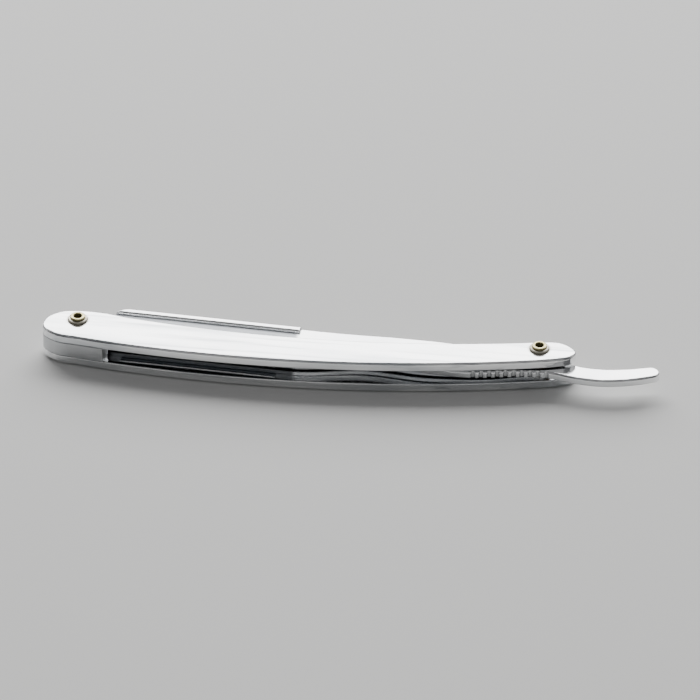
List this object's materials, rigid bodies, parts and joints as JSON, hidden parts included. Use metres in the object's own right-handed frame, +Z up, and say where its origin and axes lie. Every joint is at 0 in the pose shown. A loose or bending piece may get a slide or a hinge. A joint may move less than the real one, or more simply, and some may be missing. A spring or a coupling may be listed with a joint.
{
  "type": "folding barber razor",
  "caption": "Folded all-metal barber's razor with bowed riveted scales, a finger tail, and a blade arm and clamp arm that swing on the pivot rivet to hold a half razor blade.",
  "frame": {"origin": "on the surface the folded razor lies on, under the middle of its bounding box", "axes": "+X along the handle towards the pivot and the finger tail, +Y towards the side where the spine of the folded blade head stands out, +Z up along the rivets"},
  "size_m": [0.1462, 0.0204, 0.0092],
  "materials": {
    "polished_steel": "mirror-polished stainless steel",
    "arm_steel": "polished stainless steel with faint grinding lines",
    "pin_steel": "turned steel",
    "blade_steel": "satin strip steel with a bright ground edge",
    "brass": "rolled brass, slightly tarnished",
    "collar_brass": "pale domed brass",
    "bronze": "plain bronze"
  },
  "bodies": {
    "handle": {"front_scale": "polished_steel", "rear_scale": "polished_steel", "tail_spacer": "polished_steel", "tail_rivet": "brass", "pivot_rivet": "brass", "front_tail_collar": "collar_brass", "rear_tail_collar": "collar_brass", "front_pivot_collar": "collar_brass", "rear_pivot_collar": "collar_brass", "front_friction_washer": "bronze", "rear_friction_washer": "bronze"},
    "blade_carrier": {"blade_arm": "arm_steel", "arm_washer": "bronze", "latch_stud": "pin_steel", "heel_pin": "pin_steel", "toe_pin": "pin_steel", "razor_blade": "blade_steel"},
    "clamp": {"clamp_arm": "arm_steel"}
  },
  "joints": [
    {"name": "fold", "type": "hinge", "parent": "handle", "child": "blade_carrier", "pos_m": [0.04459, 0.00089, 0.004], "axis": [0, 0, -1], "range_deg": [0, 342]},
    {"name": "clamp_swing", "type": "hinge", "parent": "blade_carrier", "child": "clamp", "pos_m": [0.04459, 0.00089, 0.004], "axis": [0, 0, 1], "range_deg": [0, 90]}
  ]
}
